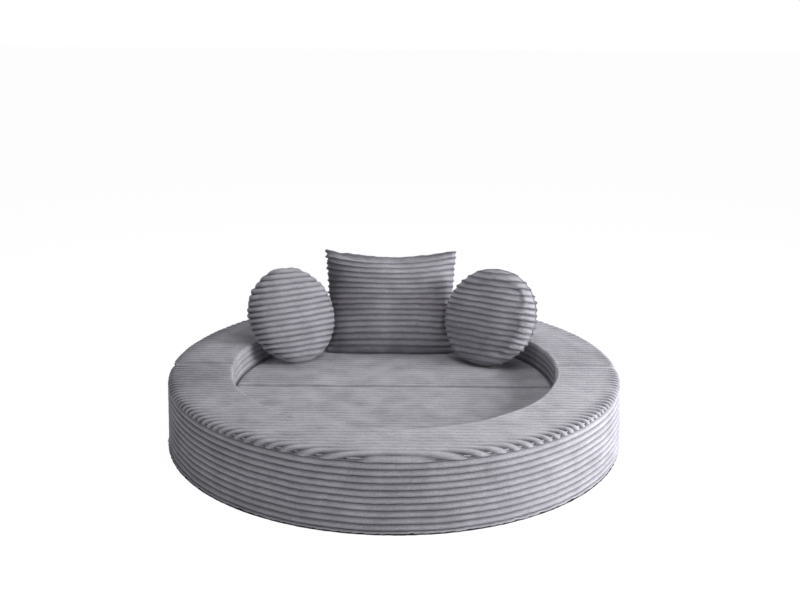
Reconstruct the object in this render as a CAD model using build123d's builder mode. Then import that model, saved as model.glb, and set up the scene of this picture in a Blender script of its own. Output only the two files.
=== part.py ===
from build123d import *
from functools import partial
import math
import os

# A round floor sofa bed in wide-ribbed plush: two half rings of covered foam stand
# round two half-disc mats, and loose cushions lean on the rear wall.
# Millimetres, +Z up, the front towards -Y, the origin on the floor at the ring's centre.

# The ring
ring_outer_radius = 900
ring_width = 252
ring_height = 280

# The mats inside it
mat_height = 185
mat_to_ring_gap = 6
mat_split_gap = 3

# The plush cover that all the foam wears
cover_thickness = 10
rib_pitch = 25
rib_depth = 6
top_turn_down = 20
edge_radius = 18
mat_edge_radius = 9
panel_edge_radius = 8
crown_overrun = 3
base_thickness = 4

# Joining patches on the ring's ends
patch_thickness = 1.6
patch_clearance = 0.8
patch_width = 120
patch_height = 150

# The zips, which run along a wall in a plain band between its ribs
zip_tape_width = 22
zip_tape_thickness = 1.2
zip_chain_width = 6
zip_chain_thickness = 2
zip_end_margin = 90
slider_length = 14
slider_width = 11
slider_plate = 1.4
slider_clearance = 0.3
ring_zip_height = 42
mat_zip_height = 110

# The cushions
pillow_corner_width = 548
pillow_waist_width = 490
pillow_height = 440
pillow_thickness = 156
pillow_lean = 17
prop_depth = 330
prop_thickness = 130
round_thickness = 176
round_lean = 17
round_turn = 31
cushion_skin = 4
cushion_seam_thickness = 9
cushion_rib_depth = 6
insert_clearance = 0.5
rest_clearance = 0.5
lean_clearance = 3

# Where the cushions stand: the square pillow's place across, the gaps between it and the
# round ones, and what each round one keeps from the wall. A round one is wider than the
# room from the pillow's side to the wall by its excess, and stands turned to fit there.
pillow_shift = -20
prop_overhang = 88
round_room_excess = 3
side_gaps = {"left": 4, "right": 8}
wall_gaps = {"left": 36, "right": 74}

# Places round one rib as shares of its pitch, with its rise there as shares of its depth
rib_rise_shares = ((0, 0), (0.2, 0.76), (0.5, 1), (0.8, 0.76))
# Levels of an insert's sections as shares of the cushion's half height
insert_level_shares = (-0.92, -0.75, -0.5, -0.25, 0, 0.25, 0.5, 0.75, 0.92)
# How far up its middle line a round cushion ends, as a share of its radius
round_end_share = 0.985
# Places across a round cushion where its distance from the wall is worked out
across_shares = (-1, -0.8, -0.6, -0.4, -0.2, 0, 0.2, 0.4, 0.6, 0.8, 1)
# How fast a pillow's sides draw in from its corners, and how full its crown is
waist_power_share = 3
crown_power_share = 0.6

os.makedirs("parts", exist_ok=True)

ring_inner_radius = ring_outer_radius - ring_width
mat_radius = ring_inner_radius - mat_to_ring_gap
round_diameter = ring_inner_radius - pillow_waist_width / 2 + round_room_excess
sides = {"front": -1, "rear": 1}


def save(builder, name):
    builder.part.label = name
    export_step(builder.part, f"parts/{name}.step")


def half_plane(side, distance):
    """The plane at a distance from the split line, facing away from it on one side."""
    return Plane(origin=(0, side * distance, 0), x_dir=(-side, 0, 0), z_dir=(0, side, 0))


def radial_plane(bearing):
    """An upright plane through the ring's axis, its x pointing outwards at a bearing."""
    angle = math.radians(bearing)
    outward = (math.cos(angle), math.sin(angle), 0)
    return Plane(origin=(0, 0, 0), x_dir=outward, z_dir=(math.sin(angle), -math.cos(angle), 0))


def rib_points(first, last, rise):
    """The valley and crest points of a row of ribs, as many as fit at about the rib pitch."""
    first, last, rise = Vector(*first), Vector(*last), Vector(*rise)
    span = last - first
    count = max(1, round(span.length / rib_pitch))
    valleys = [first + span * (index / count) for index in range(count + 1)]
    return [(low, (low + high) / 2 + rise, high) for low, high in zip(valleys, valleys[1:])]


def half_wall(side, start, back, face, low, high, ribs):
    """One half of a round wall: its back is plain, and its face carries the ribs."""
    with BuildPart() as wall:
        with BuildSketch(Plane.XZ):
            with BuildLine():
                Polyline((face, low), (back, low), (back, high), (face, high))
                draw_ribs(ribs)
            make_face()
        revolve(axis=Axis.Z)
        split(bisect_by=half_plane(side, start))
    return wall


def zipped_ribs(valley, rise, low, high, zip_height):
    """Ribs up a wall, left out over the plain band that a zip lies on."""
    band_low = zip_height - zip_tape_width / 2
    band_high = zip_height + zip_tape_width / 2
    below = rib_points((valley, low), (valley, band_low), (rise, 0))
    above = rib_points((valley, band_high), (valley, high), (rise, 0))
    return below + [((valley, band_low), (valley, band_high))] + above


def draw_ribs(ribs):
    """Draws a row of ribs, each an arc, and the plain band between them, a line."""
    for points in ribs:
        if len(points) == 3:
            ThreePointArc(*points)
        else:
            Line(*points)


def half_top(side, start, inner, outer, height, edge):
    """A top panel: ribs along X, cut to the half round and turned down over its edges."""
    under = height - cover_thickness
    low = height - top_turn_down
    valley = height - rib_depth
    crown = height + crown_overrun
    shoulder = height - edge
    diagonal = math.sqrt(0.5)
    bend = shoulder + diagonal * (crown - shoulder)
    reach = start + rib_pitch * math.ceil((outer - start) / rib_pitch)
    with BuildPart() as top:
        with BuildSketch(Plane.YZ):
            with BuildLine():
                draw_ribs(rib_points((side * start, valley), (side * reach, valley), (0, rib_depth)))
                Polyline(
                    (side * reach, valley),
                    (side * reach, low),
                    (side * start, low),
                    (side * start, valley),
                )
            make_face()
        extrude(amount=outer + cover_thickness, both=True)
        with BuildSketch(Plane.XZ):
            with BuildLine():
                Polyline(
                    (outer - cover_thickness, under),
                    (outer - cover_thickness, low),
                    (outer, low),
                    (outer, shoulder),
                )
                ThreePointArc((outer, shoulder), (outer - edge + diagonal * edge, bend), (outer - edge, crown))
                if inner > 0:
                    Line((outer - edge, crown), (inner + edge, crown))
                    ThreePointArc(
                        (inner + edge, crown), (inner + edge - diagonal * edge, bend), (inner, shoulder)
                    )
                    Polyline(
                        (inner, shoulder),
                        (inner, low),
                        (inner + cover_thickness, low),
                        (inner + cover_thickness, under),
                        (outer - cover_thickness, under),
                    )
                else:
                    Polyline((outer - edge, crown), (0, crown), (0, under), (outer - cover_thickness, under))
            make_face()
        revolve(axis=Axis.Z, mode=Mode.INTERSECT)
    return top


def half_round(side, start, inner, outer, low, high):
    """A plain half ring, or a half disc where the inner radius is zero."""
    with BuildPart() as block:
        with BuildSketch(Plane.XY.offset(low)):
            Circle(outer)
            if inner > 0:
                Circle(inner, mode=Mode.SUBTRACT)
            split(bisect_by=half_plane(side, start))
        extrude(amount=high - low)
    return block


def zip_profile(wall, outward, height):
    """A zip's section, its tape on a wall and its chain on the tape; outward is 1 or -1."""
    tape_face = wall + outward * zip_tape_thickness
    chain_face = tape_face + outward * zip_chain_thickness
    half_tape, half_chain = zip_tape_width / 2, zip_chain_width / 2
    return [
        (wall, height - half_tape),
        (tape_face, height - half_tape),
        (tape_face, height - half_chain),
        (chain_face, height - half_chain),
        (chain_face, height + half_chain),
        (tape_face, height + half_chain),
        (tape_face, height + half_tape),
        (wall, height + half_tape),
    ]


def slider_profile(wall, outward, height):
    """The section of a slider, which straddles the chain."""
    near = wall + outward * (zip_tape_thickness + slider_clearance)
    roof = near + outward * zip_chain_thickness
    far = roof + outward * slider_plate
    half_slider, half_channel = slider_width / 2, zip_chain_width / 2 + slider_clearance
    return [
        (near, height - half_slider),
        (far, height - half_slider),
        (far, height + half_slider),
        (near, height + half_slider),
        (near, height + half_channel),
        (roof, height + half_channel),
        (roof, height - half_channel),
        (near, height - half_channel),
    ]


def round_strip(side, profile, radius, lead, length):
    """A strip of a section round the ring's axis, a lead past the split line on one side."""
    bearing = math.degrees(lead / radius)
    with BuildPart() as strip:
        with BuildSketch(radial_plane(bearing if side > 0 else 180 + bearing)):
            with BuildLine():
                Polyline(*profile, close=True)
            make_face()
        revolve(axis=Axis.Z, revolution_arc=math.degrees(length / radius))
    return strip


def straight_strip(profile, start, length):
    """A strip of a section along X, from a start."""
    with BuildPart() as strip:
        with BuildSketch(Plane.YZ.offset(start)):
            with BuildLine():
                Polyline(*profile, close=True)
            make_face()
        extrude(amount=length)
    return strip


# The half rings
patch_end = patch_clearance / 2
ring_end = patch_end + patch_thickness
ring_start = ring_end + cover_thickness
ring_seam = ring_height - top_turn_down
ring_middle = (ring_outer_radius + ring_inner_radius) / 2
inner_valley = ring_inner_radius + rib_depth
outer_valley = ring_outer_radius - rib_depth

for half, side in sides.items():
    foam = half_round(
        side,
        ring_start,
        ring_inner_radius + cover_thickness,
        ring_outer_radius - cover_thickness,
        base_thickness,
        ring_height - cover_thickness,
    )
    save(foam, f"{half}_ring_foam")

    top = half_top(side, ring_start, ring_inner_radius, ring_outer_radius, ring_height, edge_radius)
    save(top, f"{half}_ring_top_panel")

    outer_ribs = rib_points((outer_valley, base_thickness), (outer_valley, ring_seam), (rib_depth, 0))
    outer_back = ring_outer_radius - cover_thickness
    outer_wall = half_wall(side, ring_start, outer_back, outer_valley, base_thickness, ring_seam, outer_ribs)
    save(outer_wall, f"{half}_ring_outer_wall")

    inner_ribs = zipped_ribs(inner_valley, -rib_depth, base_thickness, ring_seam, ring_zip_height)
    inner_back = ring_inner_radius + cover_thickness
    inner_wall = half_wall(side, ring_start, inner_back, inner_valley, base_thickness, ring_seam, inner_ribs)
    save(inner_wall, f"{half}_ring_inner_wall")

    with BuildPart() as end_panels:
        with BuildSketch(half_plane(side, ring_end)) as end_faces:
            for end in (-1, 1):
                with Locations((end * ring_middle, (ring_height + base_thickness) / 2)):
                    Rectangle(ring_width, ring_height - base_thickness)
            top_corners = end_faces.vertices().group_by(Axis.Y)[-1]
            fillet(top_corners, radius=edge_radius)
        extrude(amount=cover_thickness)
        facing = end_panels.faces().filter_by(Axis.Y).group_by(lambda face: abs(face.center().Y))[0]
        rounded = facing.edges().filter_by(lambda edge: edge.center().Z > base_thickness)
        fillet(rounded, radius=panel_edge_radius)
    save(end_panels, f"{half}_ring_end_panels")

    with BuildPart() as patches:
        with BuildSketch(half_plane(side, patch_end)):
            for end in (-1, 1):
                with Locations((end * ring_middle, (ring_height + base_thickness) / 2)):
                    Rectangle(patch_width, patch_height)
        extrude(amount=patch_thickness)
    save(patches, f"{half}_ring_join_patches")

    base = half_round(side, ring_end, ring_inner_radius, ring_outer_radius, 0, base_thickness)
    save(base, f"{half}_ring_base")
    zip_run = math.pi * inner_valley - 2 * zip_end_margin
    chain = zip_profile(inner_valley, -1, ring_zip_height)
    save(round_strip(side, chain, inner_valley, zip_end_margin, zip_run), f"{half}_ring_zip")
    slider = slider_profile(inner_valley, -1, ring_zip_height)
    slider_start = zip_end_margin + slider_length
    save(round_strip(side, slider, inner_valley, slider_start, slider_length), f"{half}_ring_zip_slider")

# The mats
mat_end = mat_split_gap / 2
mat_start = mat_end + cover_thickness
mat_seam = mat_height - top_turn_down
mat_valley = mat_radius - rib_depth
mat_half_length = math.sqrt(mat_radius**2 - mat_start**2)

for half, side in sides.items():
    foam_top = mat_height - cover_thickness
    foam = half_round(side, mat_start, 0, mat_radius - cover_thickness, base_thickness, foam_top)
    save(foam, f"{half}_mat_foam")

    top = half_top(side, mat_start, 0, mat_radius, mat_height, mat_edge_radius)
    save(top, f"{half}_mat_top_panel")

    rim_ribs = rib_points((mat_valley, base_thickness), (mat_valley, mat_seam), (rib_depth, 0))
    rim_back = mat_radius - cover_thickness
    rim = half_wall(side, mat_start, rim_back, mat_valley, base_thickness, mat_seam, rim_ribs)
    save(rim, f"{half}_mat_rim")

    valley = side * (mat_end + rib_depth)
    with BuildPart() as straight_wall:
        with BuildSketch(Plane.YZ):
            with BuildLine():
                shoulder = mat_height - mat_edge_radius
                diagonal = mat_edge_radius * math.sqrt(0.5)
                draw_ribs(zipped_ribs(valley, -side * rib_depth, base_thickness, mat_seam, mat_zip_height))
                Polyline((valley, mat_seam), (side * mat_end, mat_seam), (side * mat_end, shoulder))
                ThreePointArc(
                    (side * mat_end, shoulder),
                    (side * (mat_end + mat_edge_radius - diagonal), shoulder + diagonal),
                    (side * (mat_end + mat_edge_radius), mat_height),
                )
                Polyline(
                    (side * (mat_end + mat_edge_radius), mat_height),
                    (side * mat_start, mat_height),
                    (side * mat_start, base_thickness),
                    (valley, base_thickness),
                )
            make_face()
        extrude(amount=mat_half_length, both=True)
    save(straight_wall, f"{half}_mat_straight_wall")

    base = half_round(side, mat_end, 0, mat_radius, 0, base_thickness)
    save(base, f"{half}_mat_base")
    zip_run = 2 * (mat_half_length - zip_end_margin)
    chain = zip_profile(valley, -side, mat_zip_height)
    save(straight_strip(chain, -zip_run / 2, zip_run), f"{half}_mat_zip")
    slider = slider_profile(valley, -side, mat_zip_height)
    save(straight_strip(slider, slider_length - zip_run / 2, slider_length), f"{half}_mat_zip_slider")


def rib_levels(length):
    """Levels up a cushion's middle line, with the rise of its ribs at each."""
    count = max(1, round(length / rib_pitch))
    pitch = length / count
    levels = [
        (pitch * (index + place) - length / 2, cushion_rib_depth * rise)
        for index in range(count)
        for place, rise in rib_rise_shares
    ]
    return levels + [(length / 2, 0)]


def pillow_size(level, height, thickness):
    """Half a pillow's width and half its depth at a level, in the valleys of its ribs."""
    share = min(1, abs(2 * level / height))
    draw_in = (pillow_corner_width - pillow_waist_width) * share**waist_power_share
    half_seam = cushion_seam_thickness / 2
    belly = thickness / 2 - cushion_rib_depth - half_seam
    wide = (pillow_waist_width + draw_in) / 2 - cushion_rib_depth
    return wide, half_seam + belly * (1 - share**2) ** crown_power_share


def round_size(level):
    """Half a round cushion's width and half its depth at a level, in the valleys of its ribs."""
    radius = round_diameter / 2
    half_seam = cushion_seam_thickness / 2
    belly = round_thickness / 2 - cushion_rib_depth - half_seam
    wide = math.sqrt(radius**2 - level**2) - cushion_rib_depth
    return wide, half_seam + belly * (1 - (level / radius) ** 2)


def lens_stack(middle, sections):
    """A closed form through lens-shaped sections, each of two arcs, at levels up a cushion."""
    with BuildPart() as stack:
        for level, wide, deep in sections:
            with BuildSketch(middle.offset(level)):
                with BuildLine():
                    ThreePointArc((-wide, 0), (0, -deep), (wide, 0))
                    ThreePointArc((wide, 0), (0, deep), (-wide, 0))
                make_face()
        loft(ruled=True)
    return stack


def make_cushion(name, middle, length, size_at):
    """A cushion's front cover, back cover and insert, from its sizes at each level."""
    outside = [
        (level, size_at(level)[0] + rise, size_at(level)[1] + rise)
        for level, rise in rib_levels(length)
    ]
    stuffing_levels = [share * length / 2 for share in insert_level_shares]
    cavity = [(level, *(size - cushion_skin for size in size_at(level))) for level in stuffing_levels]
    stuffing = [(level, wide - insert_clearance, deep - insert_clearance) for level, wide, deep in cavity]
    form = lens_stack(middle, outside)
    hollow = lens_stack(middle, cavity)
    for face, facing in (("front", -1), ("back", 1)):
        with BuildPart() as cover:
            add(form.part)
            add(hollow.part, mode=Mode.SUBTRACT)
            split(bisect_by=Plane(origin=middle.origin, z_dir=middle.y_dir * facing))
        save(cover, f"{name}_{face}_cover")
    save(lens_stack(middle, stuffing), f"{name}_insert")


def leaning_plane(foot, turn, lean, half_height):
    """A plane at a cushion's middle: x across it, y to its back and z up it, from its foot."""
    across = Vector(1, 0, 0).rotate(Axis.Z, turn)
    up = Vector(0, 0, 1).rotate(Axis.X, -lean).rotate(Axis.Z, turn)
    return Plane(origin=foot + up * half_height, x_dir=across, z_dir=up)


def foot_height(lean):
    """The height of a leaning cushion's foot, so that its lower back edge clears the mats."""
    edge_half_depth = cushion_seam_thickness / 2 + cushion_rib_depth
    return mat_height + rest_clearance + edge_half_depth * math.sin(math.radians(lean))


# The prop pillow lies on the rear half ring and holds up the square pillow
prop_height = ring_height + rest_clearance + prop_thickness / 2
prop_front_y = ring_inner_radius - prop_overhang
prop_middle_y = prop_front_y + prop_depth / 2
prop_plane = Plane(origin=(pillow_shift, prop_middle_y, prop_height), x_dir=(1, 0, 0), z_dir=(0, 1, 0))
prop_size = partial(pillow_size, height=prop_depth, thickness=prop_thickness)
make_cushion("prop_pillow", prop_plane, prop_depth, prop_size)

# The square pillow leans back on the prop pillow's front edge
lean_angle = math.radians(pillow_lean)
pillow_foot_height = foot_height(pillow_lean)
pillow_half_depth = pillow_thickness / 2 / math.cos(lean_angle)
pillow_reach = (prop_height - pillow_foot_height) * math.tan(lean_angle) + pillow_half_depth
pillow_foot = Vector(pillow_shift, prop_front_y - lean_clearance - pillow_reach, pillow_foot_height)
pillow_plane = leaning_plane(pillow_foot, 0, pillow_lean, pillow_height / 2)
square_size = partial(pillow_size, height=pillow_height, thickness=pillow_thickness)
make_cushion("square_pillow", pillow_plane, pillow_height, square_size)

# The round cushions stand each side of the square pillow and lean on the wall's top edge
round_radius = round_diameter / 2
round_foot_height = foot_height(round_lean)
round_angle, turn_angle = math.radians(round_lean), math.radians(round_turn)
wall_level = (ring_height - round_foot_height) / math.cos(round_angle) - round_radius
wall_wide, wall_deep = (size + cushion_rib_depth for size in round_size(wall_level))
wall_back = (ring_height - round_foot_height) * math.tan(round_angle)
side_reach = round_radius * (math.cos(turn_angle) - math.sin(turn_angle) * math.sin(round_angle))

for name, hand in (("left", -1), ("right", 1)):
    foot_x = pillow_shift + hand * (pillow_waist_width / 2 + side_gaps[name] + side_reach)
    limit = ring_inner_radius - wall_gaps[name]
    foot_y = limit
    for share in across_shares:
        sideways = share * wall_wide
        backwards = wall_back + wall_deep * (1 - share**2) / math.cos(round_angle)
        point_x = foot_x + sideways * math.cos(turn_angle) + hand * backwards * math.sin(turn_angle)
        point_y = backwards * math.cos(turn_angle) - hand * sideways * math.sin(turn_angle)
        foot_y = min(foot_y, math.sqrt(limit**2 - point_x**2) - point_y)
    foot = Vector(foot_x, foot_y, round_foot_height)
    print(name, "round cushion's foot", foot)
    round_plane = leaning_plane(foot, -hand * round_turn, round_lean, round_radius)
    make_cushion(f"{name}_round_cushion", round_plane, round_diameter * round_end_share, round_size)
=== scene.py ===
# %% [markdown]
# # A round sofa bed in ribbed plush
# Two half rings of covered foam stand round two half-disc mats, and four loose cushions
# stand at the back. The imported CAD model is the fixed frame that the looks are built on.
# Its nodes give every place and size. What they lack is the cloth: ribs that run on
# over the edges, seams that pull in, cushions that are blown up by their stuffing.

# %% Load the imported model
import math
from contextlib import contextmanager
import bpy
import numpy as np
from mathutils import Matrix, Vector


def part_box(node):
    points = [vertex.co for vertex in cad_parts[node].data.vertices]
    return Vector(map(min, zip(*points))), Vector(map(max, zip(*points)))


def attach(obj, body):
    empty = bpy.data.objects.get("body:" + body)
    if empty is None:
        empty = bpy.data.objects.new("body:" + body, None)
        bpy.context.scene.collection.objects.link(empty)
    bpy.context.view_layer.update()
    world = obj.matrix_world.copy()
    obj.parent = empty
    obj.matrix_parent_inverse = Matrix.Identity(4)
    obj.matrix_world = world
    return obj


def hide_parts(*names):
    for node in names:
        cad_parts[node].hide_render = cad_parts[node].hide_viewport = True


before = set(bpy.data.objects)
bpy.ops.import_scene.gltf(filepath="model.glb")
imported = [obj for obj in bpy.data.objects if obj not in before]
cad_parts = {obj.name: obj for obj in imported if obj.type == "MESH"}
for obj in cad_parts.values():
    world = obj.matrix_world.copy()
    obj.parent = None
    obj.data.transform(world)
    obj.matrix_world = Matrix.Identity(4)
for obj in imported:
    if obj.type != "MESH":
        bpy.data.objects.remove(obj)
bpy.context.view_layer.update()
scene = bpy.context.scene

# %% [markdown]
# ## Sizes
# All sizes are metres, and they repeat the CAD model's own values. A cover's panel ends a
# little short of the split between front and rear (START), where the end panels and the
# mats' straight walls close it (END).

# %% Sizes
RING_OUTER = 0.900
RING_INNER = 0.648
RING_TOP = 0.280
RING_SEAM = 0.260
RING_START = 0.012
RING_END = 0.002
MAT_RADIUS = 0.642
MAT_TOP = 0.185
MAT_SEAM = 0.165
MAT_START = 0.0115
MAT_END = 0.0015
COVER = 0.010
BASE = 0.004
PITCH = 0.025
SIDES = {"front": -1, "rear": 1}
SEEDS = {"front": 11, "rear": 23}
print("rings", RING_OUTER, RING_INNER, "mats", MAT_RADIUS)

# %% [markdown]
# ## Working with objects
# Every modelling step in Blender acts on what is selected and active, so a few helpers
# select one piece, open it in edit mode and close it again. The last one is how every
# piece ends: its faces are turned outwards and its soft edges are shaded smooth.

# %% Helpers for objects
def deselect():
    bpy.ops.object.select_all(action="DESELECT")


def focus(piece):
    """Makes a piece the only selected one, and the active one."""
    deselect()
    piece.select_set(True)
    bpy.context.view_layer.objects.active = piece


def new_piece(name):
    """Names the piece that an operator has just made."""
    piece = bpy.context.object
    piece.name = piece.data.name = name
    return piece


@contextmanager
def editing(select="SELECT"):
    """Opens the active piece in edit mode with all of it, or nothing, selected."""
    bpy.ops.object.mode_set(mode="EDIT")
    bpy.ops.mesh.select_all(action=select)
    yield
    bpy.ops.object.mode_set(mode="OBJECT")


def join(pieces, name):
    focus(pieces[0])
    for piece in pieces[1:]:
        piece.select_set(True)
    bpy.ops.object.join()
    return new_piece(name)


def finish(piece, angle=60):
    focus(piece)
    with editing():
        bpy.ops.mesh.normals_make_consistent(inside=False)
    bpy.ops.object.shade_smooth_by_angle(angle=math.radians(angle))


print("object helpers ready")

# %% [markdown]
# ## Working with points
# A mesh can be shaped by hand in edit mode, or its points can be read into one array,
# moved by a rule and written back. Cloth with hundreds of equal ribs is a case for the
# second way: the operators make the piece, and the rule presses the ribs into it. A rule
# can also leave a value on each point, called a mask here, for the material to read.

# %% Helpers for points
def read_points(piece):
    flat = np.empty(len(piece.data.vertices) * 3)
    piece.data.vertices.foreach_get("co", flat)
    return flat.reshape(-1, 3)


def write_points(piece, points):
    piece.data.vertices.foreach_set("co", np.ascontiguousarray(points, float).ravel())
    piece.data.update()


def read_normals(piece):
    flat = np.empty(len(piece.data.vertices) * 3)
    piece.data.vertices.foreach_get("normal", flat)
    return flat.reshape(-1, 3)


def write_mask(piece, name, values):
    attributes = piece.data.attributes
    layer = attributes.get(name) or attributes.new(name, "FLOAT", "POINT")
    layer.data.foreach_set("value", np.ascontiguousarray(values, np.float32))


def read_mask(piece, name):
    values = np.empty(len(piece.data.vertices), np.float32)
    piece.data.attributes[name].data.foreach_get("value", values)
    return values.astype(float)


def from_axis(points):
    """Each point's distance from the upright axis, and the level way out to it."""
    radius = np.hypot(points[:, 0], points[:, 1])
    return radius, points[:, :2] / radius[:, None]


print("point helpers ready")

# %% [markdown]
# ## Rules for cloth
# Real cloth is never quite even. A sum of a few sine waves in random directions wavers
# softly, and a fixed seed makes it waver the same way each time. The other rules are the
# height of a rib, a soft hump, and the way a padded edge rolls in.

# %% Rules for cloth
def soft_noise(points, size, seed, layers=6):
    """A smooth wavering from about -1 to 1, with swells of about the given size."""
    draw = np.random.default_rng(seed)
    total = np.zeros(len(points))
    for _ in range(layers):
        way = draw.normal(size=3)
        way *= draw.uniform(0.7, 1.4) / np.linalg.norm(way)
        total += np.sin(points @ way * (2 * math.pi / size) + draw.uniform(0, 2 * math.pi))
    return total / math.sqrt(layers * 2)


def noises(points, seed, *swells):
    """Adds up waverings, each given as its amount and its size."""
    return sum(
        amount * soft_noise(points, size, seed + step) for step, (amount, size) in enumerate(swells)
    )


def rib_height(place, power=0.62):
    """How high a rib stands, 0 in its valley and 1 on its crest; place counts ribs."""
    return np.abs(np.sin(math.pi * place)) ** power


def hump(distance, width):
    return np.exp(-((distance / width) ** 2))


def spots(x, y, places):
    """Adds up soft oval spots, each given as its strength, its middle and its reach."""
    return sum(
        strength * hump(x - middle[0], reach[0]) * hump(y - middle[1], reach[1])
        for strength, middle, reach in places
    )


def roll_in(distance, radius):
    """How far a surface has rolled in at a distance from its end."""
    share = np.clip(1 - distance / radius, 0, 1)
    return radius * (1 - np.sqrt(1 - share**2))


def by_steps(values, steps):
    """Reads values off a line drawn through the steps."""
    places, heights = zip(*steps)
    return np.interp(values, places, heights)


print("a rib at its quarter stands", round(float(rib_height(0.25)), 3))

# %% [markdown]
# ## Sections and sweeps
# A wall of the ring is the same section all the way round. A plain section is a loop of
# points that Spin takes through half a turn. It leaves both ends open, and each is filled.
# A section with a hundred points is quicker as a grid: its rows are wrapped round the
# section, its columns round the half turn, and its ends are filled too. Either way the
# ends lie on rays from the centre, while the real ones are parallel to the split, so the
# points near the split are eased onto that plane.

# %% Take a section through half a turn
def half_spin(name, section, steps):
    deselect()
    bpy.ops.mesh.primitive_circle_add(vertices=len(section), radius=1, fill_type="NOTHING")
    piece = new_piece(name)
    write_points(piece, [(x, 0, z) for x, z in section])
    with editing():
        bpy.ops.mesh.spin(steps=steps, angle=math.pi, center=(0, 0, 0), axis=(0, 0, 1))
        bpy.ops.mesh.edge_face_add()
        bpy.ops.mesh.select_all(action="DESELECT")
        bpy.ops.mesh.select_mode(type="EDGE")
        bpy.ops.mesh.select_non_manifold()
        bpy.ops.mesh.edge_face_add()
        bpy.ops.mesh.select_mode(type="VERT")
    return piece


def half_sweep(name, section, steps):
    """Wraps a grid round a fine section; returns each point's place in the section too."""
    count = len(section)
    deselect()
    bpy.ops.mesh.primitive_grid_add(x_subdivisions=steps, y_subdivisions=count, size=2)
    piece = new_piece(name)
    points = read_points(piece)
    angle = (points[:, 0] + 1) / 2 * math.pi
    index = np.rint((points[:, 1] + 1) / 2 * count).astype(int) % count
    radius, height = np.array(section)[index].T
    write_points(piece, np.column_stack([radius * np.cos(angle), radius * np.sin(angle), height]))
    write_mask(piece, "section_place", index)
    with editing():
        bpy.ops.mesh.remove_doubles(threshold=0.00001)
        bpy.ops.mesh.select_all(action="SELECT")
        bpy.ops.mesh.fill_holes(sides=0)
    return piece, np.rint(read_mask(piece, "section_place")).astype(int)


# %% Shape the ends at the split
def ease_to_split(points, side, start):
    """Moves the ends of a half turn from the split line onto the plane at start."""
    radius = np.hypot(points[:, 0], points[:, 1])
    across = np.hypot(points[:, 1], start)
    along = np.sqrt(np.maximum(radius**2 - across**2, 0)) * np.sign(points[:, 0])
    return np.stack([along, side * across, points[:, 2]], 1)


def round_corners(points, reach=0.034, inset=0.014, inner_limit=0.80, fade=0.09):
    """Draws the outer corners of a half ring in, so that they are round seen from above."""
    near_end = np.clip(1 - (np.abs(points[:, 1]) - RING_START) / reach, 0, 1)
    outer = np.clip((from_axis(points)[0] - inner_limit) / fade, 0, 1) ** 2
    points[:, 0] -= np.sign(points[:, 0]) * inset * outer * (1 - np.sqrt(1 - near_end**2))
    return points


print("sweeps ready")

# %% [markdown]
# ## The ring's top panels
# Each half ring has one panel of plush on top, cut from cloth whose ribs all run from
# left to right. It turns down over the outer and the inner edge to a seam 20 mm below
# the top. So the ribs meet the edge square at the sides, like the teeth of a comb, and
# run along it at the front, where the last ones are cut to long lenses. To get that, a
# rib is found from where the point lay while the cloth was flat, not from where it is.

# %% Section of a top panel
OUTER_ROLL, OUTER_RISE, INNER_ROLL = 0.025, 0.0175, 0.011
TUCK, SEAM_LIP, SEAM_RISE = 0.0065, 0.0025, 0.0007
OUTER_RIBS = ((0, 0.002), (0.003, 0.0054), (0.010, 0.0076), (0.030, 0.0072), (0.055, 0.0047), (0.09, 0.0030))
INNER_RIBS = ((0, 0.0002), (0.003, 0.0005), (0.010, 0.0010), (0.020, 0.0018), (0.045, 0.0026))


def arc_points(centre, radii, first, last, count):
    angles = np.radians(np.linspace(first, last, count))
    return [(centre[0] + radii[0] * math.cos(a), centre[1] + radii[1] * math.sin(a)) for a in angles]


def top_section():
    """The section, and for each of its points the radius on the flat cloth, the depth of
    the ribs there and the way out. The points underneath have 0 for all three."""
    outer_middle = RING_OUTER - 0.001 - OUTER_ROLL
    inner_middle = RING_INNER + 0.001 + INNER_ROLL
    outer = [(RING_OUTER - TUCK, RING_SEAM), (RING_OUTER - SEAM_LIP, RING_SEAM + SEAM_RISE)]
    outer += arc_points((outer_middle, RING_TOP - OUTER_RISE), (OUTER_ROLL, OUTER_RISE), 0, 90, 13)
    flat = [(x, RING_TOP) for x in np.linspace(outer_middle, inner_middle, 66)[1:-1]]
    inner = arc_points((inner_middle, RING_TOP - INNER_ROLL), (INNER_ROLL, INNER_ROLL), 90, 180, 9)
    inner += [(RING_INNER + SEAM_LIP, RING_SEAM + SEAM_RISE), (RING_INNER + TUCK, RING_SEAM)]
    face = outer + flat + inner
    walked = np.concatenate([[0], np.cumsum(np.linalg.norm(np.diff(np.array(face), axis=0), axis=1))])
    flat_radius = outer_middle + walked[len(outer) - 1] - walked
    outer_depth, inner_depth = by_steps(walked, OUTER_RIBS), by_steps(walked[-1] - walked, INNER_RIBS)
    depth = np.where(walked < walked[-1] / 2, outer_depth, inner_depth)
    ways = np.gradient(np.array(face), axis=0)
    normals = np.stack([ways[:, 1], -ways[:, 0]], 1) / np.linalg.norm(ways, axis=1)[:, None]
    sides, levels = (RING_INNER + COVER, RING_OUTER - COVER), (RING_SEAM - 0.001, RING_TOP - COVER)
    under = [(sides[0], levels[0]), (sides[0], levels[1]), (sides[1], levels[1]), (sides[1], levels[0])]
    rest = (0, len(under))
    return face + under, np.pad(flat_radius, rest), np.pad(depth, rest), np.pad(normals, (rest, (0, 0)))


section, section_radius, section_depth, section_normals = top_section()
print(len(section), "points in the top's section; crest normal", section_normals[40])

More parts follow.
